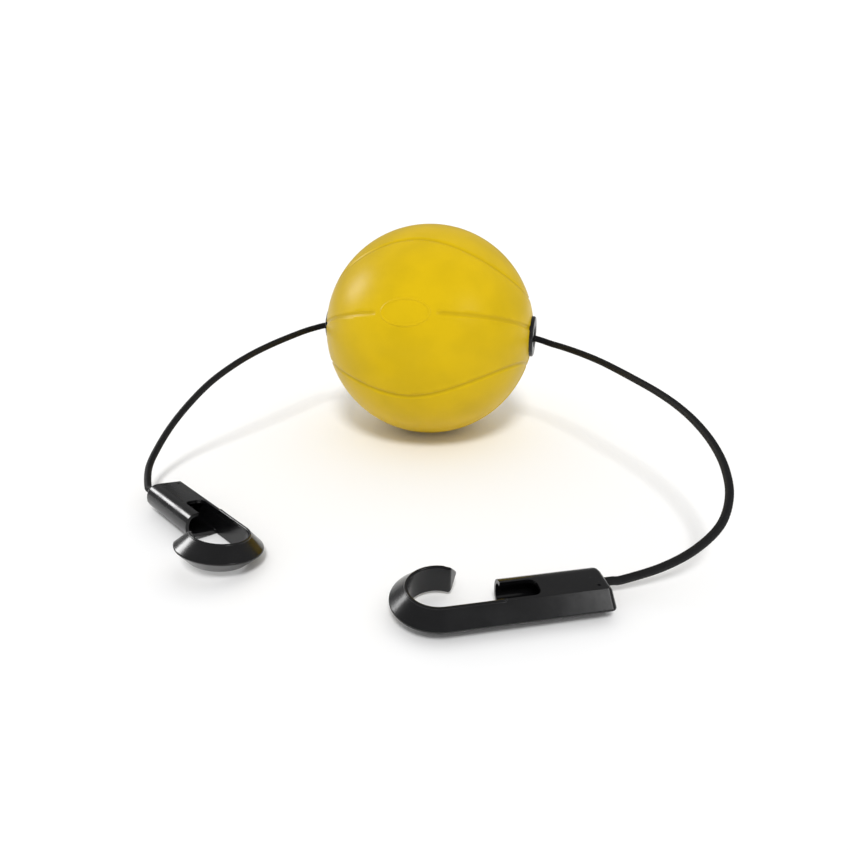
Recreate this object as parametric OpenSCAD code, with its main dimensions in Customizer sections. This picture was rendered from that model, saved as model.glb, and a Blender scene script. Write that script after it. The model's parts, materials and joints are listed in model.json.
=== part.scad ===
// Reaction training ball on an elastic cord with a J-hook at each end.
// Millimetres. +Z is up, +X runs to the right hand side of the ball, and the origin is the
// point of the floor that the ball rests on.

/* [Ball] */
// Radius of the ball
ball_r = 50; // [40:1:60]
// Thickness of the ball's rubber wall
ball_wall = 4; // [2.5:0.5:7]
// Width of a moulded seam groove
seam_w = 1.8; // [1:0.1:3]
// Depth of a moulded seam groove
seam_depth = 0.7; // [0.3:0.1:1]
// Turn of the cord bore about the vertical
bore_yaw = -13.8; // [-30:0.1:30]
// Turn of the ball's seams about the cord bore
seam_roll = -22.8; // [-90:0.1:90]

/* [Grommets] */
// Radius of a grommet's flange
flange_r = 9.5; // [8:0.5:12]
// Thickness of a grommet's flange
flange_t = 2; // [1.5:0.25:3]
// How far the flange stands out at the ball's pole
flange_proud = 0.8; // [0.4:0.1:1.5]
// Radius of a grommet's barrel
barrel_r = 6; // [5.5:0.25:7]
// Length of a grommet's barrel below its flange
barrel_l = 12.8; // [10:0.2:16]
// Radius of the funnel at its mouth
mouth_r = 4.8; // [4.6:0.1:6]
// Depth of the funnel
funnel_depth = 4.8; // [3:0.2:6]
// How deep the core tube is held in each grommet
socket_depth = 4; // [2:0.5:6]

/* [Core tube] */
// Outer radius of the core tube
core_r = 4; // [3.5:0.1:4.5]
// Clearance between the cord and the passage it runs through
passage_gap = 1.1; // [0.6:0.1:1.3]

/* [Cord] */
// Radius of the elastic cord
cord_r = 1.5; // [1:0.1:1.6]
// Length left free at each flexing point, so that the cord can bend there
flex_gap = 0.8; // [0.7:0.1:1.5]
// Radius of a stop knot
knot_r = 3; // [2.6:0.1:3.1]
// Length of a stop knot
knot_l = 7; // [5:0.5:9]
// Length of the cut tail behind a knot
tail_l = 3.5; // [2:0.5:6]

/* [Hooks] */
// Radius of the seat inside the J
seat_r = 9.5; // [8:0.25:12]
// Thickness of the hook, from its lower face to its upper face
hook_h = 9.5; // [9.3:0.1:12]
// Depth of the outer ridge behind the seat
ridge_d = 5.7; // [4:0.1:8]
// Width of the blunt edge of the ridge
ridge_flat = 0.5; // [0.2:0.1:1.5]
// Width of the flat rim beside the seat
rim_w = 0.9; // [0.6:0.1:1.5]
// Chamfer along the edge of the seat
seat_chamfer = 0.3; // [0.1:0.1:0.5]
// Turn of the tip past the top of the J
tip_angle = 37; // [10:1:45]
// Distance from the centre of the J to the hollow body
shank_l = 19; // [18:0.5:30]
// Length of the hollow body
body_l = 34; // [30:0.5:45]
// Width of the body's flat faces and round side
body_w = 13.4; // [13:0.2:16]
// Radius of the body's round side
side_r = 4.2; // [2.5:0.1:4.6]
// Wall around the body's cavity
body_wall = 1.3; // [1:0.1:1.5]
// Thickness of the end wall that the knot pulls against
end_wall = 3; // [2:0.25:4]
// Clearance between the cord and its hole in the end wall
cord_gap = 0.3; // [0.3:0.05:0.6]
// Distance from the body's round side to the cord hole
hole_inset = 4.7; // [4.6:0.1:5.5]
// Clearance between a knot and the end wall
knot_gap = 0.4; // [0.3:0.1:0.8]
// Length of the window in the upper face, from the body's open end
window_l = 11.5; // [9:0.5:16]
// Width of the window
window_w = 7.6; // [5:0.2:8.4]
// Radius of the corners at the window's closed end
window_corner_r = 2.6; // [1:0.1:3]
// Width of the flat strip between the ridge's bevel and the window
window_inset = 1.1; // [0.9:0.1:3]

/* [Lay of the hooks] */
// Place of the right hook's J on the floor
right_hook_xy = [1.5, -156.5];
// Heading of the right hook, from its J to its cord
right_hook_yaw = 11.7; // [0:0.1:30]
// Roll of the right hook about its own length
right_hook_roll = 4; // [0:0.5:15]
// Place of the left hook's J on the floor
left_hook_xy = [-74.2, -128.6];
// Heading of the left hook, from its J to its cord
left_hook_yaw = 133.5; // [120:0.1:150]
// Roll of the left hook about its own length
left_hook_roll = 12; // [0:0.5:15]

/* [Hidden] */
$fn = 96;

eps = 0.01;
reach = 2 * ball_r;                            // longer than any cut needs
flange_face = ball_r + flange_proud;           // outer face of a flange, from the ball's centre
flange_back = flange_face - flange_t;
barrel_end = flange_back - barrel_l;
flex_at = flange_face - funnel_depth;          // flexing point of the cord, at the funnel's throat
core_end = barrel_end + socket_depth;          // half the length of the core tube
boss_r = barrel_r + ball_wall;
passage_r = cord_r + passage_gap;              // inside the core tube and the grommets
cord_hole_r = cord_r + cord_gap;

hook_end = shank_l + body_l;                   // the cord's end of the hook
edge_y = -(seat_r + rim_w);                    // where the flat faces meet the bevels
side_y = edge_y + body_w;                      // outermost line of the round side
axis_y = side_y - hole_inset;                  // the cord's line through the body
axis_z = hook_h / 2;
cavity_lo = -seat_r;                           // flush with the seat's wall
cavity_hi = side_y - body_wall;
cavity_end = hook_end - end_wall;
knot_face = cavity_end - knot_gap;
cord_straight = 8;                             // straight cord outside a hook's end

ring_sides = 8;

// Points that the right cord passes through between its grommet and its hook
RIGHT_ROUTE = [
    [52, -13.2, 48.6], [56.5, -16.8, 47.8], [61.5, -21.8, 47.4], [68, -31.5, 47.2],
    [74, -42, 46.8], [79, -52.5, 46.2], [84.2, -63.5, 45.3], [89.5, -74, 44],
    [94.2, -85, 42.2], [97.8, -96, 39.7], [100.2, -107.5, 36.3], [100.9, -118.5, 32],
    [99.2, -129, 26.6], [94, -137.5, 20.5], [85, -142.3, 14.2], [74.5, -144, 8.6]
];
// Points that the left cord passes through between its grommet and its hook
LEFT_ROUTE = [
    [-52.4, 12.6, 49.2], [-57.6, 10, 48.5], [-62.5, 4.5, 48.1], [-69, -5.5, 47.5],
    [-75.8, -15.3, 46.4], [-82.9, -25, 44.5], [-90.2, -34, 41.3], [-97.6, -41.6, 36.6],
    [-105, -48, 29.8], [-111.6, -54.4, 22.2], [-116, -62.5, 15], [-117.4, -71.5, 9.8]
];

// ---- cord paths ----------------------------------------------------------------------------

// A point on the ball's bore, t from the ball's centre towards the right
function bore_point(t) = [t * cos(bore_yaw), t * sin(bore_yaw), ball_r];

// A point given along and across a hook, carried to where that hook lies
function hook_point(p, xy, yaw, roll) =
    let (y = p[1] * cos(roll) - p[2] * sin(roll),
         z = p[1] * sin(roll) + p[2] * cos(roll) - edge_y * sin(roll))
    [xy[0] + p[0] * cos(yaw) - y * sin(yaw), xy[1] + p[0] * sin(yaw) + y * cos(yaw), z];

// The straight end of a cord, from outside its hook to the knot inside
function cord_tail(xy, yaw, roll) =
    [for (x = [hook_end + cord_straight, hook_end + cord_straight / 2, hook_end, knot_face])
        hook_point([x, axis_y, axis_z], xy, yaw, roll)];

right_path = concat([bore_point(flex_at + flex_gap)], RIGHT_ROUTE,
                    cord_tail(right_hook_xy, right_hook_yaw, right_hook_roll));
left_path = concat([bore_point(-flex_at - flex_gap)], LEFT_ROUTE,
                   cord_tail(left_hook_xy, left_hook_yaw, left_hook_roll));

// A point between p[i] and p[i + 1] on a smooth curve through all the points
function smooth_point(p, i, u) =
    let (a = p[max(i - 1, 0)], b = p[i], c = p[i + 1], d = p[min(i + 2, len(p) - 1)])
    0.5 * (2 * b + (c - a) * u + (2 * a - 5 * b + 4 * c - d) * u * u
           + (3 * b - a - 3 * c + d) * u * u * u);

function smooth_path(p, steps) =
    concat([for (i = [0 : len(p) - 2], k = [0 : steps - 1]) smooth_point(p, i, k / steps)],
           [p[len(p) - 1]]);

function unit(v) = v / norm(v);

// One ring of the tube, square to the path at point i
function ring(p, i, r) =
    let (along = unit(p[min(i + 1, len(p) - 1)] - p[max(i - 1, 0)]),
         side = unit(cross(along, [0, 0, 1])),
         up = cross(side, along))
    [for (k = [0 : ring_sides - 1])
        let (turn = 360 * k / ring_sides) p[i] + r * (cos(turn) * side + sin(turn) * up)];

module tube_along(p, r) {
    rings = len(p);
    last = (rings - 1) * ring_sides;
    points = [for (i = [0 : rings - 1], q = ring(p, i, r)) q];
    sides = [for (i = [0 : rings - 2], k = [0 : ring_sides - 1])
        let (a = i * ring_sides, n = (k + 1) % ring_sides)
        [a + k, a + n, a + ring_sides + n, a + ring_sides + k]];
    caps = [[for (k = [ring_sides - 1 : -1 : 0]) k],
            [for (k = [0 : ring_sides - 1]) last + k]];
    polyhedron(points = points, faces = concat(sides, caps));
}

// ---- places --------------------------------------------------------------------------------

// The ball's own frame: its bore along X, its centre at the origin
module in_ball() { translate([0, 0, ball_r]) rotate([0, 0, bore_yaw]) children(); }

// Turns a shape drawn along Z so that it lies along the bore; side is 1 right and -1 left
module along_bore(side) { rotate([0, side * 90, 0]) children(); }

// A hook's own frame: the J's centre at the origin, the cord along X, resting on its lower edge
module in_hook(xy, yaw, roll) {
    translate([xy[0], xy[1], -edge_y * sin(roll)]) rotate([0, 0, yaw]) rotate([roll, 0, 0])
        children();
}

// ---- ball ----------------------------------------------------------------------------------

// Half of a great circle, from under one flange to under the other
module half_seam() {
    start = asin(flange_r / ball_r) * 0.75;
    rotate([0, 0, start]) rotate_extrude(angle = 180 - 2 * start)
        translate([ball_r + seam_w / 2 - seam_depth, 0]) circle(r = seam_w / 2);
}

module half_disc(r) {
    intersection() {
        circle(r = r);
        translate([0, -r]) square([r, 2 * r]);
    }
}

// Half of the shell's section: its bore along Y, with a boss and a stepped hole at each pole
module shell_section() {
    difference() {
        union() {
            difference() {
                half_disc(ball_r);
                half_disc(ball_r - ball_wall);
            }
            intersection() {
                half_disc(ball_r - ball_wall / 2);
                for (m = [0, 1]) mirror([0, m]) translate([0, core_end]) square([boss_r, reach]);
            }
        }
        for (m = [0, 1]) mirror([0, m]) {
            translate([-eps, flange_back]) square([flange_r + eps, reach]);
            translate([-eps, barrel_end]) square([barrel_r + eps, reach]);
        }
    }
}

module ball_shell() {
    color([0.86, 0.72, 0.05]) in_ball() difference() {
        along_bore(1) rotate_extrude() shell_section();
        for (turn = [0, 90, 180, 270]) rotate([seam_roll + turn, 0, 0]) half_seam();
    }
}

module core_tube() {
    color([0.2, 0.2, 0.2]) in_ball() along_bore(1) difference() {
        translate([0, 0, -core_end]) cylinder(r = core_r, h = 2 * core_end);
        translate([0, 0, -reach]) cylinder(r = passage_r, h = 2 * reach);
    }
}

module grommet(side) {
    edge = flange_t / 4;
    color([0.05, 0.05, 0.05]) in_ball() along_bore(side) rotate_extrude() polygon([
        [core_r, barrel_end], [barrel_r, barrel_end], [barrel_r, flange_back],
        [flange_r, flange_back], [flange_r, flange_face - edge], [flange_r - edge, flange_face],
        [mouth_r, flange_face], [passage_r, flex_at], [passage_r, core_end], [core_r, core_end]
    ]);
}

// ---- cord ----------------------------------------------------------------------------------

module cord_middle() {
    half = flex_at - flex_gap;
    color([0.04, 0.04, 0.04]) in_ball() along_bore(1) translate([0, 0, -half])
        cylinder(r = cord_r, h = 2 * half);
}

module cord_right() {
    color([0.04, 0.04, 0.04]) tube_along(smooth_path(right_path, 2), cord_r);
}

module cord_left() {
    color([0.04, 0.04, 0.04]) tube_along(smooth_path(left_path, 2), cord_r);
}

// A stop knot with its cut tail, in a hook's own frame
module knot() {
    shoulder = knot_r / 3;
    translate([knot_face, axis_y, axis_z]) rotate([0, -90, 0]) rotate_extrude() polygon([
        [0, 0], [knot_r - shoulder, 0], [knot_r, shoulder], [knot_r, knot_l - shoulder],
        [knot_r - shoulder, knot_l], [cord_r, knot_l], [cord_r, knot_l + tail_l],
        [0, knot_l + tail_l]
    ]);
}

// ---- hooks ---------------------------------------------------------------------------------

// Cross-section of the J: the seat at radius seat_r, the ridge outside it at mid-height
module j_section() {
    polygon([
        [seat_r, seat_chamfer], [seat_r + seat_chamfer, 0], [seat_r + rim_w, 0],
        [seat_r + ridge_d, (hook_h - ridge_flat) / 2], [seat_r + ridge_d, (hook_h + ridge_flat) / 2],
        [seat_r + rim_w, hook_h], [seat_r + seat_chamfer, hook_h], [seat_r, hook_h - seat_chamfer]
    ]);
}

// Outline of the body across its length: a ridge on one side, a round wall on the other
module body_section() {
    polygon([
        [edge_y, 0], [side_y - side_r, 0], [side_y - side_r, hook_h], [edge_y, hook_h],
        [-seat_r - ridge_d, (hook_h + ridge_flat) / 2], [-seat_r - ridge_d, (hook_h - ridge_flat) / 2]
    ]);
    for (z = [side_r, hook_h - side_r]) translate([side_y - side_r, z]) circle(r = side_r);
    translate([side_y - side_r, side_r]) square([side_r, hook_h - 2 * side_r]);
}

module cavity_section() {
    inner_r = side_r - body_wall;
    lo = body_wall;
    hi = hook_h - body_wall;
    translate([cavity_lo, lo]) square([cavity_hi - inner_r - cavity_lo, hi - lo]);
    for (z = [lo + inner_r, hi - inner_r]) translate([cavity_hi - inner_r, z])
        circle(r = inner_r);
    translate([cavity_hi - inner_r, lo + inner_r]) square([inner_r, hi - lo - 2 * inner_r]);
}

// Extrudes a section drawn across the hook from one place along it to another
module along_hook(from, to) {
    translate([from, 0, 0]) rotate([90, 0, 90]) linear_extrude(to - from) children();
}

module window_cut() {
    near = edge_y + window_inset;
    far = near + window_w;
    last = shank_l + window_l;
    translate([0, 0, hook_h / 2]) linear_extrude(hook_h) {
        translate([shank_l - eps, near])
            square([window_l - window_corner_r + eps, window_w]);
        translate([last - 2 * window_corner_r, near + window_corner_r])
            square([2 * window_corner_r, window_w - 2 * window_corner_r]);
        for (y = [near + window_corner_r, far - window_corner_r])
            translate([last - window_corner_r, y]) circle(r = window_corner_r);
    }
}

module hook() {
    difference() {
        union() {
            mirror([0, 1, 0]) rotate([0, 0, 90]) rotate_extrude(angle = 180 + tip_angle)
                j_section();
            along_hook(0, shank_l) mirror([1, 0]) j_section();
            along_hook(shank_l, hook_end) body_section();
        }
        along_hook(shank_l - eps, cavity_end) cavity_section();
        window_cut();
        translate([shank_l + body_l / 2, axis_y, axis_z]) rotate([0, 90, 0])
            cylinder(r = cord_hole_r, h = body_l);
    }
}

module left_knot() {
    color([0.06, 0.06, 0.06]) in_hook(left_hook_xy, left_hook_yaw, left_hook_roll) knot();
}

module right_knot() {
    color([0.06, 0.06, 0.06]) in_hook(right_hook_xy, right_hook_yaw, right_hook_roll) knot();
}

module left_hook() {
    color([0.08, 0.08, 0.08]) in_hook(left_hook_xy, left_hook_yaw, left_hook_roll) hook();
}

module right_hook() {
    color([0.08, 0.08, 0.08]) in_hook(right_hook_xy, right_hook_yaw, right_hook_roll) hook();
}

ball_shell();
core_tube();
grommet(-1);  // left_grommet
grommet(1);  // right_grommet
cord_left();
cord_middle();
cord_right();
left_knot();
right_knot();
left_hook();
right_hook();
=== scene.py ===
"""Builds the looks of a reaction training ball: a rubber ball on a braided cord with two J-hooks."""

import json
import math

import bmesh
import bpy
from bpy.props import FloatProperty, FloatVectorProperty, PointerProperty
from mathutils import Matrix, Vector


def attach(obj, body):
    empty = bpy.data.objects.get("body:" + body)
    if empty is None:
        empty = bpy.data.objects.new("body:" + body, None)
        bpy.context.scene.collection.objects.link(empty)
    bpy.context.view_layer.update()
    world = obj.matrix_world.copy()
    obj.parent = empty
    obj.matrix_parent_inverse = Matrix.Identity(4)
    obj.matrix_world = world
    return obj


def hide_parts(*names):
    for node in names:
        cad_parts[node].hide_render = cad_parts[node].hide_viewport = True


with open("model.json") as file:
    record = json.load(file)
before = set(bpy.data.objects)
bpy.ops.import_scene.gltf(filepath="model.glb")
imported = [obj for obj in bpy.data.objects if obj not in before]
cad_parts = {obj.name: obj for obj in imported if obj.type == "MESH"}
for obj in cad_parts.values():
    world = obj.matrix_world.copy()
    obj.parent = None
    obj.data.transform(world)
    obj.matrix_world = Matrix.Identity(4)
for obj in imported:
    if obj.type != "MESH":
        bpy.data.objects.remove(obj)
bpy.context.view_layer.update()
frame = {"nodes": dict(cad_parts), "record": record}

bl_info = {
    "name": "Reaction Ball Looks",
    "version": (1, 0, 0),
    "blender": (4, 5, 0),
    "location": "View3D > Sidebar > Reaction Ball",
    "description": "Rubber ball, grommets, braided cord and J-hooks built round the packed frame",
    "category": "Object",
}

MM = 0.001
JOINTS = {joint["name"]: joint for joint in frame["record"]["behaviour"]["joints"]}
MOUNTS = {mount["name"]: mount for mount in frame["record"]["mounts"]}
BALL_CENTRE = Vector(JOINTS["ball_spin"]["pos_m"])
BORE_AXIS = Vector(JOINTS["ball_spin"]["axis"]).normalized()

# The cord's points between each grommet and the straight end at its hook, in millimetres.
CORD_ROUTES = {
    "right": [
        (52, -13.2, 48.6), (56.5, -16.8, 47.8), (61.5, -21.8, 47.4), (68, -31.5, 47.2),
        (74, -42, 46.8), (79, -52.5, 46.2), (84.2, -63.5, 45.3), (89.5, -74, 44),
        (94.2, -85, 42.2), (97.8, -96, 39.7), (100.2, -107.5, 36.3), (100.9, -118.5, 32),
        (99.2, -129, 26.6), (94, -137.5, 20.5), (85, -142.3, 14.2), (74.5, -144, 8.6),
    ],
    "left": [
        (-52.4, 12.6, 49.2), (-57.6, 10, 48.5), (-62.5, 4.5, 48.1), (-69, -5.5, 47.5),
        (-75.8, -15.3, 46.4), (-82.9, -25, 44.5), (-90.2, -34, 41.3), (-97.6, -41.6, 36.6),
        (-105, -48, 29.8), (-111.6, -54.4, 22.2), (-116, -62.5, 15), (-117.4, -71.5, 9.8),
    ],
}


# ---- settings ------------------------------------------------------------------------------


def length(name, description, millimetres):
    return FloatProperty(name=name, description=description, default=millimetres * MM,
                         min=0.0, precision=5, subtype="DISTANCE", unit="LENGTH")


def colour(name, description, value):
    return FloatVectorProperty(name=name, description=description, default=value,
                               size=3, min=0.0, max=1.0, subtype="COLOR")


class BallSettings(bpy.types.PropertyGroup):
    radius: length("Radius", "Radius of the rubber ball", 50)
    wall: length("Wall", "Thickness of the rubber wall", 4)
    seam_width: length("Seam Width", "Width of a moulded seam groove", 2.4)
    seam_depth: length("Seam Depth", "Depth of a moulded seam groove", 0.45)
    badge_length: length("Badge Length", "Length of the plain oval moulded in the front seam", 21)
    badge_height: length("Badge Height", "Height of the plain oval moulded in the front seam", 11.5)
    wave_mean: FloatProperty(name="Wave Mean", description="Mean angle of the curved seams",
                             default=math.radians(31), subtype="ANGLE", unit="ROTATION")
    wave_swing: FloatProperty(name="Wave Swing", description="How far the curved seams swing",
                              default=math.radians(13), subtype="ANGLE", unit="ROTATION")
    seam_tilt: FloatProperty(name="Seam Tilt", description="Rise of the seams towards the right",
                             default=math.radians(2.9), subtype="ANGLE", unit="ROTATION")
    seam_roll: FloatProperty(name="Seam Roll", description="Turn of the seams about the bore",
                             default=math.radians(-22.8), subtype="ANGLE", unit="ROTATION")
    rubber: colour("Rubber", "Colour of the ball's rubber", (0.63, 0.425, 0.0012))


class GrommetSettings(bpy.types.PropertyGroup):
    flange_radius: length("Flange Radius", "Radius of a grommet's flange", 9.5)
    flange_thickness: length("Flange Thickness", "Thickness of a grommet's flange", 2)
    proud: length("Proud", "How far the flange stands out at the ball's pole", 0.8)
    barrel_radius: length("Barrel Radius", "Radius of a grommet's barrel", 6)
    barrel_length: length("Barrel Length", "Length of the barrel below the flange", 12.8)
    mouth_radius: length("Mouth Radius", "Radius of the funnel at its mouth", 4.8)
    passage_radius: length("Passage Radius", "Radius of the passage for the cord", 2.6)
    tube_radius: length("Tube Radius", "Outer radius of the core tube it holds", 4)
    funnel_depth: length("Funnel Depth", "Depth of the funnel", 4.8)
    socket_depth: length("Socket Depth", "How deep the core tube is held", 4)
    plastic: colour("Plastic", "Colour of the glossy black plastic", (0.004, 0.004, 0.0045))


class CordSettings(bpy.types.PropertyGroup):
    radius: length("Radius", "Radius of the elastic cord", 1.5)
    braid_height: length("Braid Height", "Height of the sheath's plaited strands", 0.09)
    braid_pitch: length("Braid Pitch", "Length along the cord of one turn of a strand", 11)
    flex_gap: length("Flex Gap", "Free length at each flexing point", 0.8)
    straight_end: length("Straight End", "Straight cord outside a hook's end", 8)
    knot_length: length("Knot Length", "Length of a stop knot", 7)
    knot_radius: length("Knot Radius", "Radius of a stop knot", 3)
    tail_length: length("Tail Length", "Length of the cut tail behind a knot", 3.5)
    sheath: colour("Sheath", "Colour of the braided sheath", (0.006, 0.006, 0.0065))


class HookSettings(bpy.types.PropertyGroup):
    seat_radius: length("Seat Radius", "Radius of the seat inside the J", 9.5)
    thickness: length("Thickness", "From the lower face to the upper face", 9.5)
    ridge_depth: length("Ridge Depth", "Depth of the outer ridge behind the seat", 5.7)
    ridge_flat: length("Ridge Flat", "Width of the blunt edge of the ridge", 0.5)
    rim_width: length("Rim Width", "Width of the flat rim beside the seat", 0.9)
    shank_length: length("Shank Length", "From the J's centre to the hollow body", 19)
    body_length: length("Body Length", "Length of the hollow body", 34)
    body_width: length("Body Width", "Width of the flat faces and the round side", 13.4)
    side_radius: length("Side Radius", "Radius of the body's round side", 4.2)
    body_wall: length("Body Wall", "Wall round the body's cavity", 1.3)
    end_wall: length("End Wall", "Thickness of the wall that the knot pulls against", 3)
    hole_radius: length("Cord Hole Radius", "Radius of the cord hole", 1.8)
    hole_inset: length("Cord Hole Inset", "From the round side to the cord hole", 4.7)
    knot_gap: length("Knot Gap", "Clearance between a knot and the end wall", 0.4)
    window_length: length("Window Length", "Length of the window in the upper face", 11.5)
    window_width: length("Window Width", "Width of the window", 7.6)
    window_corner: length("Window Corner", "Radius of the window's closed corners", 2.6)
    window_inset: length("Window Inset", "From the ridge's bevel to the window", 1.1)
    lip_radius: length("Lip Radius", "Radius of the raised lip along the seat's edge", 0.6)
    lip_proud: length("Lip Proud", "How far the lip stands above the upper face", 0.35)
    end_round: length("End Round", "Rounding of the end that the cord leaves", 2)
    tip_angle: FloatProperty(name="Tip Angle", description="Turn of the tip past the top of the J",
                             default=math.radians(37), subtype="ANGLE", unit="ROTATION")

    @property
    def edge_y(self):
        return -(self.seat_radius + self.rim_width)

    @property
    def side_y(self):
        return self.edge_y + self.body_width

    @property
    def axis_y(self):
        return self.side_y - self.hole_inset

    @property
    def end_x(self):
        return self.shank_length + self.body_length

    @property
    def knot_x(self):
        return self.end_x - self.end_wall - self.knot_gap


class StageSettings(bpy.types.PropertyGroup):
    floor: colour("Floor", "Colour of the floor", (0.93, 0.93, 0.93))
    fill: FloatProperty(name="Fill", description="Strength of the white room", default=0.67,
                        min=0.0)
    dark_side: FloatProperty(name="Dark Side", description="Strength lost in reflections",
                             default=0.34, min=0.0)
    key: FloatProperty(name="Key", description="Strength of the broad light above", default=1.62,
                       min=0.0)
    left_power: FloatProperty(name="Left Power", description="Power of the light at the left",
                              default=3.2, min=0.0, unit="POWER")
    right_power: FloatProperty(name="Right Power", description="Power of the light at the right",
                               default=0.9, min=0.0, unit="POWER")


SETTINGS = {
    "rb_ball": BallSettings,
    "rb_grommet": GrommetSettings,
    "rb_cord": CordSettings,
    "rb_hook": HookSettings,
    "rb_stage": StageSettings,
}


# ---- shader maths --------------------------------------------------------------------------


class Signal:
    """A shader socket that can be used in Python expressions."""

    def __init__(self, finish, socket):
        self.finish = finish
        self.socket = socket

    def math(self, operation, *values):
        return self.finish.node("ShaderNodeMath", {"operation": operation}, dict(enumerate(values)))

    def __add__(self, other):
        return self.math("ADD", self, other)

    def __radd__(self, other):
        return self.math("ADD", other, self)

    def __sub__(self, other):
        return self.math("SUBTRACT", self, other)

    def __rsub__(self, other):
        return self.math("SUBTRACT", other, self)

    def __mul__(self, other):
        return self.math("MULTIPLY", self, other)

    def __rmul__(self, other):
        return self.math("MULTIPLY", other, self)

    def ramp(self, low, high):
        """0 below low and 1 above high, with a smooth step between them."""
        return self.finish.node("ShaderNodeMapRange", {"interpolation_type": "SMOOTHSTEP"},
                                {"Value": self, "From Min": low, "From Max": high})


class Finish:
    """A material whose nodes are made by name."""

    def __init__(self, name):
        self.material = bpy.data.materials.new(name)
        self.material.use_nodes = True
        self.tree = self.material.node_tree
        self.tree.nodes.clear()
        self.shader = self.tree.nodes.new("ShaderNodeBsdfPrincipled")
        output = self.tree.nodes.new("ShaderNodeOutputMaterial")
        self.tree.links.new(self.shader.outputs["BSDF"], output.inputs["Surface"])

    def plug(self, socket, value):
        if isinstance(value, Signal):
            self.tree.links.new(value.socket, socket)
        elif isinstance(value, (tuple, list)) and len(value) == 3 and socket.type == "RGBA":
            socket.default_value = (*value, 1.0)
        else:
            socket.default_value = value

    def node(self, kind, settings=None, inputs=None, output=0):
        made = self.tree.nodes.new(kind)
        for name, value in (settings or {}).items():
            setattr(made, name, value)
        for name, value in (inputs or {}).items():
            self.plug(made.inputs[name], value)
        return Signal(self, made.outputs[output])

    def place(self):
        return self.node("ShaderNodeTexCoord", output="Object")

    def noise(self, scale, detail=2.0, vector=None):
        return self.node("ShaderNodeTexNoise", {"noise_dimensions": "3D"},
                         {"Vector": vector or self.place(), "Scale": scale, "Detail": detail})

    def blend(self, factor, first, second):
        return self.node("ShaderNodeMix", {"data_type": "RGBA"},
                         {"Factor": factor, 6: first, 7: second}, output=2)

    def bump(self, height, distance, strength=1.0):
        return self.node("ShaderNodeBump", {}, {"Height": height, "Distance": distance,
                                                "Strength": strength})

    def surface(self, **sockets):
        for name, value in sockets.items():
            self.plug(self.shader.inputs[name.replace("_", " ")], value)
        return self.material


def shade(rgb, factor):
    return tuple(channel * factor for channel in rgb)


def moulded_rubber(context):
    """Satin rubber: fine matt grain, faint cloudiness, and painted shade that darkens the colour
    down in the seam grooves.
    """
    ball = context.scene.rb_ball
    rubber = Finish("moulded_rubber")
    grain = rubber.noise(1500, 3)
    cloud = rubber.noise(55, 2)
    mottle = rubber.noise(420, 3)
    depth = rubber.node("ShaderNodeVectorMath", {"operation": "DISTANCE"},
                        {0: rubber.place(), 1: tuple(BALL_CENTRE)}, output="Value")
    # Painted shade: the rubber colour is darkened where the skin dips into the seam grooves.
    painted_seam_shade = 1 - depth.ramp(ball.radius - ball.seam_depth, ball.radius - 0.1 * ball.seam_depth)
    even = rubber.blend(cloud.ramp(0.3, 0.7) * 0.7 + mottle * 0.3,
                        shade(ball.rubber, 0.93), shade(ball.rubber, 1.06))
    return rubber.surface(
        Base_Color=rubber.blend(painted_seam_shade * 0.3, even, shade(ball.rubber, 0.6)),
        Roughness=0.36 + (mottle - 0.5) * 0.1 + (grain - 0.5) * 0.08,
        Normal=rubber.bump(grain + mottle * 0.8, 0.00005, 0.45),
        Specular_IOR_Level=0.15,
    )


def gloss_plastic(name, rgb, roughness):
    """Glossy injection-moulded plastic with a faint ripple and handling haze."""
    plastic = Finish(name)
    ripple = plastic.noise(160, 2)
    haze = plastic.noise(90, 4)
    specks = plastic.noise(2600, 2)
    worn = haze.ramp(0.45, 0.75)
    return plastic.surface(
        Base_Color=plastic.blend(worn * 0.5, rgb, shade(rgb, 1.7)),
        Roughness=roughness + worn * 0.07 + (specks - 0.5) * 0.05,
        Normal=plastic.bump(ripple + specks * 0.06, 0.00012, 0.35),
        IOR=1.46,
    )


def braided_sheath(name, rgb):
    """Plaited polyester yarn: fine fibre noise makes the yarn lighter and darker at random."""
    sheath = Finish(name)
    fibre = sheath.noise(5200, 3)
    fleck = sheath.noise(900, 2)
    return sheath.surface(
        Base_Color=sheath.blend(fibre.ramp(0.35, 0.75), shade(rgb, 0.6), shade(rgb, 1.9)),
        Roughness=0.62 + (fleck - 0.5) * 0.25,
        Normal=sheath.bump(fibre, 0.00005, 0.6),
        Specular_IOR_Level=0.3,
    )


def liner_plastic():
    """Plain extruded tube."""
    liner = Finish("liner_plastic")
    streak = liner.noise(700, 3)
    return liner.surface(
        Base_Color=liner.blend(streak, (0.03, 0.03, 0.03), (0.06, 0.06, 0.06)),
        Roughness=0.55 + (streak - 0.5) * 0.2,
    )


def seamless_paper(rgb):
    """Plain pale floor paper."""
    paper = Finish("seamless_paper")
    tooth = paper.noise(400, 2)
    return paper.surface(
        Base_Color=paper.blend(tooth, shade(rgb, 0.995), rgb),
        Roughness=0.9,
        Specular_IOR_Level=0.1,
    )


# ---- shapes --------------------------------------------------------------------------------


def skin_rings(mesh, rings, wrap=False, caps=True):
    """Joins closed rings of points into a tube. wrap joins the last ring to the first."""
    rows = [[mesh.verts.new(point) for point in ring] for ring in rings]
    pairs = list(zip(rows, rows[1:])) + ([(rows[-1], rows[0])] if wrap else [])
    for first, second in pairs:
        for k in range(len(first)):
            n = (k + 1) % len(first)
            mesh.faces.new((first[k], first[n], second[n], second[k]))
    if caps and not wrap:
        mesh.faces.new(reversed(rows[0]))
        mesh.faces.new(rows[-1])
    return rows


def tidy(mesh, distance=2e-6):
    bmesh.ops.remove_doubles(mesh, verts=mesh.verts, dist=distance)
    bmesh.ops.dissolve_degenerate(mesh, edges=mesh.edges, dist=distance)
    bmesh.ops.recalc_face_normals(mesh, faces=mesh.faces)


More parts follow.
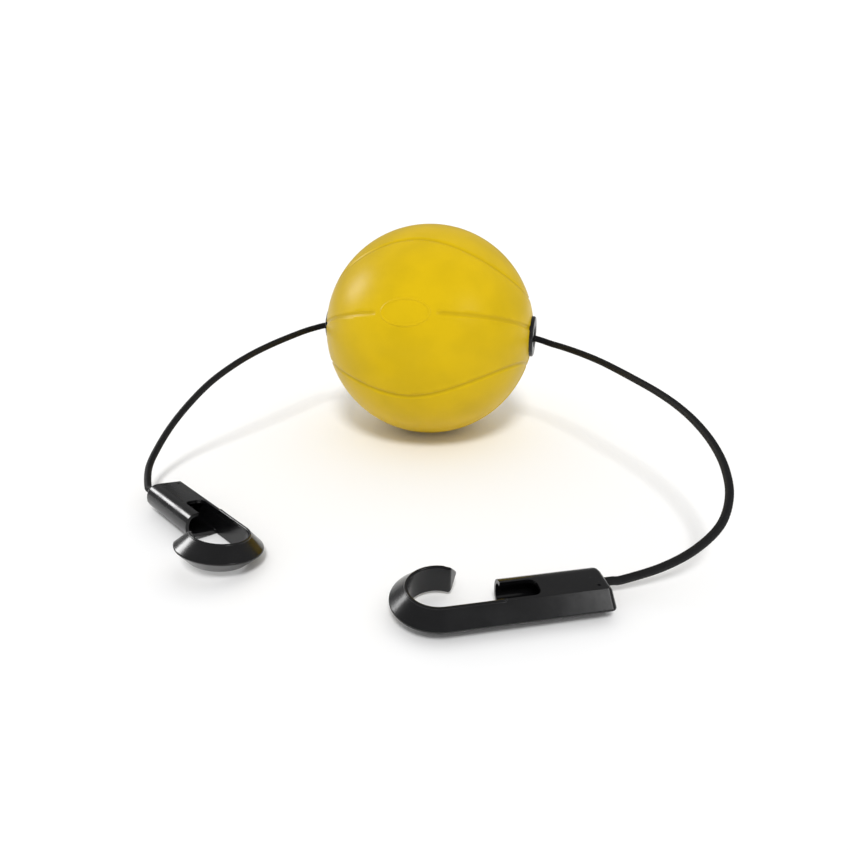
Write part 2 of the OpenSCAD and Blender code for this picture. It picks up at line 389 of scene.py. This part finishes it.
def finish_mesh(name, mesh, place=None, sharp=math.radians(38)):
    """An object from a bmesh, moved by place, smooth except at its sharp edges."""
    tidy(mesh)
    data = bpy.data.meshes.new(name)
    mesh.to_mesh(data)
    mesh.free()
    if place is not None:
        data.transform(place)
    data.shade_smooth()
    data.set_sharp_from_angle(angle=sharp)
    piece = bpy.data.objects.new(name, data)
    bpy.context.scene.collection.objects.link(piece)
    return piece


def dress(piece, material, body, slot, *nodes):
    """Gives a piece its finish, its body and the CAD nodes that it stands for."""
    piece.data.materials.clear()
    piece.data.materials.append(material)
    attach(piece, body)
    if nodes:
        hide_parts(*nodes)


def basis(x, z, origin):
    """The matrix that carries X and Z onto x and z, and the origin onto origin."""
    y = z.cross(x).normalized()
    z = x.cross(y).normalized()
    return Matrix.Translation(origin) @ Matrix((x, y, z)).transposed().to_4x4()


def ball_place(roll=0.0):
    """The ball's own frame: the bore along X, turned by roll about it."""
    upright = Vector((0, 0, 1))
    return basis(BORE_AXIS, upright, BALL_CENTRE) @ Matrix.Rotation(roll, 4, "X")


def hook_place(context, side):
    """A hook's own frame: the J's centre on its lower face, the cord along X."""
    axis = Vector(JOINTS[f"{side}_hook_swivel"]["axis"]).normalized()
    mount = MOUNTS[f"{side}_hook_seat"]
    upper = Vector(mount["axis"]).normalized()
    centre = Vector(mount["pos_m"]) - upper * context.scene.rb_hook.thickness / 2
    return basis(axis, upper, centre)


def arc(centre, radius, start, stop, steps):
    """Points of an arc in a plane, angles in degrees."""
    return [(centre[0] + radius * math.cos(math.radians(start + (stop - start) * k / steps)),
             centre[1] + radius * math.sin(math.radians(start + (stop - start) * k / steps)))
            for k in range(steps + 1)]


def rounded_outline(corners, radii, steps=4):
    """A convex outline, counter-clockwise, with its corners rounded."""
    outline = []
    for k, corner in enumerate(corners):
        corner = Vector(corner)
        u = (corner - Vector(corners[k - 1])).normalized()
        v = (Vector(corners[(k + 1) % len(corners)]) - corner).normalized()
        m, turn, radius = Vector((-u.y, u.x)), u.angle(v), radii[k]
        centre = corner - u * radius * math.tan(turn / 2) + m * radius
        first = math.atan2(-m.y, -m.x)
        for step in range(steps + 1):
            angle = first + turn * step / steps
            outline.append((centre.x + radius * math.cos(angle),
                            centre.y + radius * math.sin(angle)))
    return outline


def drawn_in(outline, inset):
    """The outline drawn in by inset at the middle of each of its four sides."""
    lows, highs = (tuple(pick(axis) for axis in zip(*outline)) for pick in (min, max))
    return [tuple((low + high) / 2 + (value - (low + high) / 2) * (1 - 2 * inset / (high - low))
                  for value, low, high in zip(point, lows, highs)) for point in outline]


def revolve(mesh, profile, steps):
    """Turns a closed profile of (radius, distance along X) about X."""
    rings = []
    for k in range(steps):
        turn = 2 * math.pi * k / steps
        rings.append([(x, r * math.cos(turn), r * math.sin(turn)) for r, x in profile])
    return skin_rings(mesh, rings, wrap=True, caps=False)


# ---- cord ----------------------------------------------------------------------------------


def smooth_line(points, spacing):
    """Points an even distance apart on a smooth curve through the points given."""
    dense = []
    for i in range(len(points) - 1):
        a, b = points[max(i - 1, 0)], points[i]
        c, d = points[i + 1], points[min(i + 2, len(points) - 1)]
        for k in range(24):
            u = k / 24
            dense.append(0.5 * (2 * b + (c - a) * u + (2 * a - 5 * b + 4 * c - d) * u * u
                                + (3 * b - a - 3 * c + d) * u * u * u))
    dense.append(points[-1])
    total = sum((q - p).length for p, q in zip(dense, dense[1:]))
    count = max(2, round(total / spacing))
    line, walked, k = [dense[0]], 0.0, 0
    for step in range(1, count):
        target = total * step / count
        while walked + (dense[k + 1] - dense[k]).length < target:
            walked += (dense[k + 1] - dense[k]).length
            k += 1
        span = (dense[k + 1] - dense[k]).length
        line.append(dense[k].lerp(dense[k + 1], (target - walked) / span))
    return line + [dense[-1]]


def run_length(line):
    return sum((b - a).length for a, b in zip(line, line[1:]))


def carried_frames(line):
    """A pair of cross directions at each point, carried along without twist."""
    frames, side = [], None
    for k in range(len(line)):
        along = (line[min(k + 1, len(line) - 1)] - line[max(k - 1, 0)]).normalized()
        if side is None:
            side = along.orthogonal().normalized()
        side = (side - along * side.dot(along)).normalized()
        frames.append((side, along.cross(side)))
    return frames


def braid_tube(mesh, line, radius, height, pitch, sides=32, strands=8):
    """A tube whose skin is a plait: strands of two hands that pass over and under."""
    walked, rings = 0.0, []
    for k, (point, (side, up)) in enumerate(zip(line, carried_frames(line))):
        if k:
            walked += (point - line[k - 1]).length
        twist = 2 * math.pi * walked / pitch
        ring = []
        for n in range(sides):
            turn = 2 * math.pi * n / sides
            one = math.cos(strands * (turn + twist) / 2)
            other = math.cos(strands * (turn - twist) / 2)
            crown = max(abs(one), abs(other)) - 0.75
            r = radius - height + 1.6 * height * crown
            ring.append(point + side * r * math.cos(turn) + up * r * math.sin(turn))
        rings.append(ring)
    return skin_rings(mesh, rings)


def cord_line(context, side):
    """The cord from its flexing point in the grommet to the knot inside the hook."""
    cord, hook = context.scene.rb_cord, context.scene.rb_hook
    pivot = Vector(JOINTS[f"{side}_cord_swing"]["pos_m"])
    outward = (pivot - BALL_CENTRE).normalized()
    place = hook_place(context, side)
    ends = (hook.end_x + cord.straight_end, hook.end_x + cord.straight_end / 2,
            hook.end_x, hook.knot_x)
    points = [pivot + outward * cord.flex_gap]
    points += [Vector(point) * MM for point in CORD_ROUTES[side]]
    points += [place @ Vector((x, hook.axis_y, hook.thickness / 2)) for x in ends]
    return smooth_line(points, 0.45 * MM)


class ReactionBallCords(bpy.types.Operator):
    """Makes the braided elastic cord: its middle in the ball and a stretch to each hook"""

    bl_idname = "reaction_ball.cords"
    bl_label = "Cord"

    def execute(self, context):
        cord = context.scene.rb_cord
        sheath = braided_sheath("braided_sheath", tuple(cord.sheath))
        for side in ("left", "right"):
            line = cord_line(context, side)
            mesh = bmesh.new()
            braid_tube(mesh, line, cord.radius, cord.braid_height, cord.braid_pitch)
            piece = finish_mesh(f"braided_cord_{side}", mesh, sharp=math.radians(80))
            dress(piece, sheath, f"{side}_cord_stretch", "cord", f"cord_{side}")
            path = line[::8] + [line[-1]]
            run_length(line)
        reach = ((Vector(JOINTS["right_cord_swing"]["pos_m"]) - BALL_CENTRE).length
                 - cord.flex_gap)
        middle = smooth_line([BALL_CENTRE - BORE_AXIS * reach, BALL_CENTRE + BORE_AXIS * reach],
                             0.6 * MM)
        mesh = bmesh.new()
        braid_tube(mesh, middle, cord.radius, cord.braid_height, cord.braid_pitch, sides=24)
        piece = finish_mesh("braided_cord_middle", mesh, sharp=math.radians(80))
        dress(piece, sheath, "cord_through_ball", "cord", "cord_middle")
        return {"FINISHED"}


class ReactionBallKnots(bpy.types.Operator):
    """Ties the stop knot and its cut tail at each end of the cord"""

    bl_idname = "reaction_ball.knots"
    bl_label = "Stop Knots"

    def execute(self, context):
        cord, hook = context.scene.rb_cord, context.scene.rb_hook
        sheath = braided_sheath("knotted_sheath", tuple(cord.sheath))
        strand = 1.1 * MM
        turns = 2.6
        for side in ("left", "right"):
            start, end = hook.knot_x, hook.knot_x - cord.knot_length
            mesh = bmesh.new()
            core = [Vector((x, 0, 0)) for x in (start, (start + end) / 2, end,
                                                end - cord.tail_length)]
            braid_tube(mesh, smooth_line(core, 0.5 * MM), cord.radius, cord.braid_height,
                       cord.braid_pitch, sides=24)
            wrap = []
            for k in range(61):
                u = k / 60
                turn = 2 * math.pi * turns * u
                out = (cord.knot_radius - strand) * min(1.0, 6 * u + 0.45, 6 * (1 - u) + 0.45)
                x = start - strand - (cord.knot_length - 2 * strand) * u
                wrap.append(Vector((x, out * math.cos(turn), out * math.sin(turn))))
            braid_tube(mesh, smooth_line(wrap, 0.4 * MM), strand, cord.braid_height * 0.8,
                       cord.braid_pitch * 0.7, sides=16)
            place = hook_place(context, side) @ Matrix.Translation(
                (0, hook.axis_y, hook.thickness / 2))
            piece = finish_mesh(f"stop_knot_{side}", mesh, place, sharp=math.radians(80))
            dress(piece, sheath, f"{side}_cord_stretch", "cord", f"{side}_knot")
        return {"FINISHED"}


# ---- ball ----------------------------------------------------------------------------------


def seam_angles(direction):
    """Angle round the bore's equator from the front, and angle above the middle seam."""
    around = math.atan2(direction.x, -direction.y)
    above = math.asin(max(-1.0, min(1.0, direction.z)))
    return around, above


def seam_distances(direction, ball):
    """Distance over the rubber from each of the four seams and from the badge's outline."""
    around, above = seam_angles(Matrix.Rotation(ball.seam_tilt, 3, "Y") @ direction)
    wave = ball.wave_mean + ball.wave_swing * math.cos(2 * around)
    slope = -2 * ball.wave_swing * math.sin(2 * around) / max(0.05, math.cos(above))
    steep = math.sqrt(1 + slope * slope)
    a, b = ball.badge_length / 2, ball.badge_height / 2
    u, v = ball.radius * math.sin(around) * math.cos(above), ball.radius * math.sin(above)
    span = math.hypot(u / a, v / b)
    badge = 1.0
    if -direction.y > 0.5:
        rise = math.hypot(u / a / a, v / b / b) / max(span, 1e-6)
        badge = (span - 1) / max(rise, 1e-6)
    return (ball.radius * above,
            ball.radius * math.asin(max(-1.0, min(1.0, direction.y))),
            ball.radius * (above - wave) / steep,
            ball.radius * (above + wave) / steep,
            badge)


def score(mesh, outer, distance, level):
    """Cuts an edge line into the outer skin where distance equals level."""
    values = {vert: distance(vert) - level for vert in mesh.verts if outer(vert)}
    fresh = {}
    for edge in list(mesh.edges):
        a, b = edge.verts
        if a in values and b in values and values[a] * values[b] < 0:
            share = values[a] / (values[a] - values[b])
            if abs(values[a] - values[b]) < 12 * MM:
                made = bmesh.utils.edge_split(edge, a, share)[1]
                made.co = made.co.normalized() * a.co.length
                fresh[made] = True
    # Dictionaries keep the order that things went in, so the mesh comes out alike each run.
    for face in dict.fromkeys(face for vert in fresh for face in vert.link_faces):
        cuts = [vert for vert in face.verts if vert in fresh]
        if len(cuts) == 2 and not any(cuts[1] in edge.verts for edge in cuts[0].link_edges):
            bmesh.utils.face_split(face, cuts[0], cuts[1])


def shell_profile(ball, grommet):
    """Half section of the shell, from one pole over the outside to the other and back inside."""
    flange_face = ball.radius + grommet.proud
    recess = flange_face - grommet.flange_thickness
    rim = grommet.flange_radius + 0.05 * MM
    hole = grommet.barrel_radius + 0.05 * MM
    boss_end = recess - grommet.barrel_length + grommet.socket_depth
    start = math.asin(rim / ball.radius)
    outside = [(ball.radius * math.sin(start + (math.pi - 2 * start) * k / 110),
                ball.radius * math.cos(start + (math.pi - 2 * start) * k / 110))
               for k in range(111)]
    inner = ball.radius - ball.wall
    boss = grommet.barrel_radius + ball.wall
    meet = math.asin(boss / inner)
    inside = [(inner * math.sin(math.pi - meet - (math.pi - 2 * meet) * k / 40),
               inner * math.cos(math.pi - meet - (math.pi - 2 * meet) * k / 40))
              for k in range(41)]
    step = [(rim, recess), (hole, recess), (hole, boss_end), (boss, boss_end)]
    mirrored = [(r, -x) for r, x in step]
    return outside + mirrored + inside + list(reversed(step))


class ReactionBallShell(bpy.types.Operator):
    """Moulds the hollow rubber ball with its seams and the plain oval in its front seam"""

    bl_idname = "reaction_ball.shell"
    bl_label = "Rubber Ball"

    def execute(self, context):
        ball, grommet = context.scene.rb_ball, context.scene.rb_grommet
        mesh = bmesh.new()
        revolve(mesh, shell_profile(ball, grommet), 220)
        skin = ball.radius * 0.9995

        def outer(vert):
            return vert.co.length > skin

        near = [edge for edge in mesh.edges
                if all(outer(vert) and -vert.co.y > 0.045 and abs(vert.co.x) < 0.014
                       and abs(vert.co.z) < 0.009 for vert in edge.verts)]
        bmesh.ops.subdivide_edges(mesh, edges=near, cuts=2, use_grid_fill=True)
        for vert in mesh.verts:
            if abs(vert.co.length - ball.radius) < 0.2 * MM:
                vert.co = vert.co.normalized() * ball.radius
        half = ball.seam_width / 2
        for seam in range(4):
            for level in (-1, -0.7, -0.35, 0, 0.35, 0.7, 1):
                score(mesh, outer, lambda vert: seam_distances(vert.co.normalized(), ball)[seam],
                      level * half)
        bead = 0.55 * MM
        for level in (-1, -0.5, 0, 0.5, 1):
            score(mesh, outer, lambda vert: seam_distances(vert.co.normalized(), ball)[4],
                  level * bead)
        for vert in mesh.verts:
            if not outer(vert):
                continue
            direction = vert.co.normalized()
            around, _ = seam_angles(direction)
            *seams, badge = seam_distances(direction, ball)
            gap = ball.badge_length / 2 + 3 * MM
            open_part = min(1.0, max(0.0, (abs(ball.radius * around) - gap) / (0.8 * MM)))
            dips = [max(0.0, 1 - (distance / half) ** 2) for distance in seams]
            dips[0] *= open_part
            rise = max(0.0, 1 - (badge / bead) ** 2) * 0.28 * MM
            vert.co = direction * (ball.radius - ball.seam_depth * max(dips) + rise)
        place = ball_place(ball.seam_roll)
        piece = finish_mesh("rubber_ball", mesh, place, sharp=math.radians(60))
        dress(piece, moulded_rubber(context), "ball", "ball_rubber", "ball_shell")
        return {"FINISHED"}


class ReactionBallGrommets(bpy.types.Operator):
    """Makes the flanged grommets where the cord leaves the ball, and dresses the core tube"""

    bl_idname = "reaction_ball.grommets"
    bl_label = "Grommets"

    def execute(self, context):
        ball, grommet = context.scene.rb_ball, context.scene.rb_grommet
        face = ball.radius + grommet.proud
        back = face - grommet.flange_thickness
        low = back - grommet.barrel_length
        socket = low + grommet.socket_depth
        throat = face - grommet.funnel_depth
        round_over = 0.9 * MM
        lip = 0.8 * MM
        edge = arc((face - round_over, grommet.flange_radius - round_over), round_over,
                   90, 0, 6)
        mouth = arc((face - lip, grommet.mouth_radius + lip), lip, 0, -62, 6)
        profile = [(grommet.tube_radius, low), (grommet.barrel_radius, low),
                   (grommet.barrel_radius, back), (grommet.flange_radius, back)]
        profile += [(r, x) for x, r in edge] + [(r, x) for x, r in mouth]
        profile += [(grommet.passage_radius + 0.25 * MM, throat + 0.8 * MM),
                    (grommet.passage_radius, throat - 0.4 * MM),
                    (grommet.passage_radius, socket), (grommet.tube_radius, socket)]
        black = gloss_plastic("grommet_plastic", tuple(grommet.plastic), 0.28)
        for side, turn in (("right", 0.0), ("left", math.pi)):
            mesh = bmesh.new()
            revolve(mesh, profile, 96)
            place = ball_place() @ Matrix.Rotation(turn, 4, "Z")
            piece = finish_mesh(f"grommet_{side}", mesh, place, sharp=math.radians(50))
            dress(piece, black, "ball", "grommet_plastic", f"{side}_grommet")
        tube = frame["nodes"]["core_tube"]
        tube.data.materials.clear()
        tube.data.materials.append(liner_plastic())
        return {"FINISHED"}


# ---- hooks ---------------------------------------------------------------------------------


def hook_sections(hook):
    """Corners and radii of the J's section and of the body's, both across the hook as (y, z)."""
    top, middle, flat = hook.thickness, hook.thickness / 2, hook.ridge_flat / 2
    ridge_y, edge_y = -(hook.seat_radius + hook.ridge_depth), hook.edge_y
    ridge_side = [(edge_y, top), (ridge_y, middle + flat), (ridge_y, middle - flat), (edge_y, 0)]
    radii = [0.25 * MM, 0.5 * MM, 0.5 * MM, 0.25 * MM]
    j = ridge_side + [(-hook.seat_radius, 0), (-hook.seat_radius, top)]
    body = ridge_side + [(hook.side_y, 0), (hook.side_y, top)]
    return j, radii + [0.42 * MM] * 2, body, radii + [hook.side_radius] * 2


def hook_blank(hook):
    """The solid hook, lofted from the tip round the J and along the shank and the body."""
    corners, radii, body_corners, body_radii = hook_sections(hook)
    j, body = rounded_outline(corners, radii), rounded_outline(body_corners, body_radii)
    rings = []
    tip_round = 1.0 * MM
    start = math.pi / 2 - hook.tip_angle
    sweep = math.pi + hook.tip_angle
    seat_mean = hook.seat_radius + 2.5 * MM

    def turned(outline, angle):
        return [(-y * math.cos(angle), -y * math.sin(angle), z) for y, z in outline]

    for step in range(6):
        phi = math.pi / 2 * (1 - step / 6)
        rings.append(turned(drawn_in(j, tip_round * (1 - math.cos(phi))),
                            start + tip_round * (1 - math.sin(phi)) / seat_mean))
    for k in range(73):
        rings.append(turned(j, start + (sweep * k / 72 if k else tip_round / seat_mean)))
    rings += [[(hook.shank_length, y, z) for y, z in outline] for outline in (j, body)]
    for step in range(8):
        phi = math.pi / 2 * step / 7
        x = hook.end_x - hook.end_round * (1 - math.sin(phi))
        rings.append([(x, y, z) for y, z in
                      drawn_in(body, hook.end_round * (1 - math.cos(phi)))])
    mesh = bmesh.new()
    skin_rings(mesh, rings)
    return mesh


def lip_bead(hook):
    """The raised lip along the upper edge of the seat and the shank, with its round end."""
    radius = hook.lip_radius
    reach = hook.seat_radius + 0.8 * radius
    start = 90 - math.degrees(hook.tip_angle) + 4
    line = arc((0, 0), reach, start, 270, 60)
    line += [(hook.shank_length * k / 12, -reach) for k in range(1, 13)]
    spread = [radius * min(1.0, 0.35 + 0.22 * k) for k in range(len(line))]
    for back, wide in enumerate((0.5, 1.0, 1.25, 1.15)):
        spread[-1 - back] = radius * wide
    line[-4:] = [(hook.shank_length - x * MM, -reach) for x in (1.7, 1.0, 0.4, 0.0)]
    rings = []
    for (x, y), r, (side, up) in zip(line, spread,
                                     carried_frames([Vector((x, y, 0)) for x, y in line])):
        centre = Vector((x, y, hook.thickness + hook.lip_proud - radius))
        rings.append([centre + side * r * math.cos(math.pi * k / 8)
                      + up * r * math.sin(math.pi * k / 8) for k in range(16)])
    mesh = bmesh.new()
    skin_rings(mesh, rings)
    return mesh


def prism(mesh, outline, low, high):
    """An upright block with a rounded outline in the plane of the hook's faces."""
    skin_rings(mesh, [[(x, y, z) for x, y in outline] for z in (low, high)])


def cutter(name, mesh):
    tidy(mesh)
    data = bpy.data.meshes.new(name)
    mesh.to_mesh(data)
    mesh.free()
    return bpy.data.objects.new(name, data)


def hook_cutters(hook):
    """The cavity, the window over it, the cord hole with its countersink, and the gate mark."""
    lo, hi = hook.body_wall, hook.thickness - hook.body_wall
    near, far = -hook.seat_radius, hook.side_y - hook.body_wall
    cavity = bmesh.new()
    outline = rounded_outline([(near, hi), (near, lo), (far, lo), (far, hi)],
                              [0.6 * MM, 0.6 * MM] + [hook.side_radius - hook.body_wall] * 2)
    skin_rings(cavity, [[(x, y, z) for y, z in outline]
                        for x in (hook.shank_length - MM, hook.end_x - hook.end_wall)])
    window = bmesh.new()
    side, corner = hook.edge_y + hook.window_inset, hook.window_corner
    other = side + hook.window_width
    left, right = hook.shank_length - MM, hook.shank_length + hook.window_length
    prism(window, [(left, other), (left, side)]
          + arc((right - corner, side + corner), corner, -90, 0, 12)
          + arc((right - corner, other - corner), corner, 0, 90, 12),
          hook.thickness / 2, hook.thickness + MM)
    bore = bmesh.new()
    profile = [(hook.hole_radius, hook.end_x - hook.end_wall - MM),
               (hook.hole_radius, hook.end_x - 0.5 * MM),
               (hook.hole_radius + 0.25 * MM, hook.end_x - 0.2 * MM),
               (hook.hole_radius + 1.6 * MM, hook.end_x + MM)]
    skin_rings(bore, [[(x, hook.axis_y + r * math.cos(2 * math.pi * k / 40),
                        hook.thickness / 2 + r * math.sin(2 * math.pi * k / 40))
                       for k in range(40)] for r, x in profile])
    gate = bmesh.new()
    prism(gate, arc((hook.end_x - 4 * MM, hook.edge_y + 2 * MM), 0.5 * MM, 0, 345, 23),
          hook.thickness - 0.35 * MM, hook.thickness + MM)
    return [cutter(name, mesh) for name, mesh in
            (("cavity", cavity), ("window", window), ("bore", bore), ("gate", gate))]


class ReactionBallHooks(bpy.types.Operator):
    """Moulds the two J-hooks, each with a ridged J and a hollow body for the knot"""

    bl_idname = "reaction_ball.hooks"
    bl_label = "J-Hooks"

    def execute(self, context):
        hook = context.scene.rb_hook
        black = gloss_plastic("hook_plastic", tuple(context.scene.rb_grommet.plastic), 0.2)
        for side in ("left", "right"):
            piece = finish_mesh(f"j_hook_{side}", hook_blank(hook), sharp=math.radians(32))
            lip = cutter("lip", lip_bead(hook))
            cutters = [lip] + hook_cutters(hook)
            for tool in cutters:
                context.scene.collection.objects.link(tool)
                cut = piece.modifiers.new(tool.name, "BOOLEAN")
                cut.operation = "UNION" if tool is lip else "DIFFERENCE"
                cut.solver, cut.object = "EXACT", tool
            context.view_layer.update()
            done = piece.evaluated_get(context.evaluated_depsgraph_get())
            data = bpy.data.meshes.new_from_object(done)
            piece.modifiers.clear()
            for tool in cutters:
                bpy.data.objects.remove(tool)
            mesh = bmesh.new()
            mesh.from_mesh(data)
            tidy(mesh, 5e-6)
            if not all(edge.is_manifold for edge in mesh.edges):
                raise RuntimeError(f"{piece.name}: the cut hook is not closed")
            mesh.to_mesh(data)
            mesh.free()
            data.transform(hook_place(context, side))
            data.shade_smooth()
            data.set_sharp_from_angle(angle=math.radians(32))
            piece.data = data
            bevel = piece.modifiers.new("moulded_edges", "BEVEL")
            bevel.width, bevel.segments = 0.2 * MM, 2
            bevel.limit_method, bevel.angle_limit = "ANGLE", math.radians(45)
            even = piece.modifiers.new("even_flats", "WEIGHTED_NORMAL")
            even.keep_sharp = True
            dress(piece, black, f"{side}_hook", "hook_plastic", f"{side}_hook")
        return {"FINISHED"}


# ---- stage ---------------------------------------------------------------------------------


def aim(thing, position, target):
    thing.location = position
    thing.rotation_euler = (Vector(target) - Vector(position)).to_track_quat("-Z", "Y").to_euler()
    bpy.context.scene.collection.objects.link(thing)


def soft_light(name, position, target, size, power):
    """A panel that is seen only as a highlight, so the floor stays evenly lit."""
    data = bpy.data.lights.new(name, "AREA")
    data.shape, data.size, data.size_y, data.energy = "RECTANGLE", size[0], size[1], power
    panel = bpy.data.objects.new(name, data)
    panel.visible_diffuse = False
    aim(panel, position, target)


class ReactionBallStage(bpy.types.Operator):
    """Sets up the camera, the pale floor that curves up behind, and the soft lights"""

    bl_idname = "reaction_ball.stage"
    bl_label = "Stage"

    def execute(self, context):
        stage = context.scene.rb_stage
        lens = bpy.data.cameras.new("studio_camera")
        lens.lens, lens.sensor_width = 30.49, 36.0
        lens.clip_start = 0.01
        camera = bpy.data.objects.new("studio_camera", lens)
        camera.location = (-0.0024, -0.3429, 0.1386)
        camera.rotation_euler = (math.radians(90 - 22), 0, 0)
        context.scene.collection.objects.link(camera)
        context.scene.camera = camera
        context.scene.view_settings.view_transform = "Standard"

        paper = seamless_paper(tuple(stage.floor))
        curve = [(-3.0, 0.0), (1.6, 0.0)] + arc((1.6, 1.0), 1.0, -90, 0, 16)[1:] + [(2.6, 4.0)]
        for name, strip in (("paper_floor", curve[:2]), ("paper_wall", curve[1:])):
            mesh = bmesh.new()
            rows = [[mesh.verts.new((x, y, z)) for y, z in strip] for x in (-4.0, 4.0)]
            for k in range(len(strip) - 1):
                mesh.faces.new((rows[0][k], rows[1][k], rows[1][k + 1], rows[0][k + 1]))
            sheet = finish_mesh(name, mesh)
            sheet.data.materials.append(paper)
            sheet.visible_glossy = name == "paper_floor"

        world = bpy.data.worlds.new("white_room")
        context.scene.world = world
        world.use_nodes = True
        tree = world.node_tree
        background = tree.nodes["Background"]
        background.inputs["Color"].default_value = (1, 1, 1, 1)
        dim = tree.nodes.new("ShaderNodeMath")
        dim.operation = "MULTIPLY_ADD"
        dim.inputs[1].default_value, dim.inputs[2].default_value = -stage.dark_side, stage.fill
        path = tree.nodes.new("ShaderNodeLightPath")
        tree.links.new(path.outputs["Is Glossy Ray"], dim.inputs[0])
        tree.links.new(dim.outputs[0], background.inputs["Strength"])

        middle = (0, -0.05, 0.03)
        key = bpy.data.lights.new("key_light", "SUN")
        key.energy, key.angle = stage.key, math.radians(14)
        lamp = bpy.data.objects.new("key_light", key)
        lamp.visible_glossy = False
        aim(lamp, (0.0, -0.75, 1.0), middle)
        soft_light("left_light", (-0.77, 0.24, 0.46), middle, (0.22, 0.3), stage.left_power)
        soft_light("right_light", (0.57, -0.53, 0.52), middle, (0.2, 0.2), stage.right_power)
        return {"FINISHED"}


# ---- add-on --------------------------------------------------------------------------------


class ReactionBallPanel(bpy.types.Panel):
    """Lists the pieces of the reaction ball"""

    bl_idname = "VIEW3D_PT_reaction_ball"
    bl_label = "Reaction Ball"
    bl_space_type = "VIEW_3D"
    bl_region_type = "UI"
    bl_category = "Reaction Ball"

    def draw(self, context):
        for name, group in SETTINGS.items():
            box = self.layout.box()
            for prop in group.__annotations__:
                box.prop(getattr(context.scene, name), prop)
        for operator in OPERATORS:
            self.layout.operator(operator.bl_idname)


OPERATORS = [ReactionBallStage, ReactionBallKnots, ReactionBallCords, ReactionBallShell,
             ReactionBallGrommets, ReactionBallHooks]


def register():
    for cls in (*SETTINGS.values(), *OPERATORS, ReactionBallPanel):
        bpy.utils.register_class(cls)
    for name, group in SETTINGS.items():
        setattr(bpy.types.Scene, name, PointerProperty(type=group))


def unregister():
    for name in SETTINGS:
        delattr(bpy.types.Scene, name)
    for cls in reversed((*SETTINGS.values(), *OPERATORS, ReactionBallPanel)):
        bpy.utils.unregister_class(cls)


def main():
    register()
    for operator in OPERATORS:
        group, name = operator.bl_idname.split(".")
        getattr(getattr(bpy.ops, group), name)()


if __name__ == "__main__":
    main()
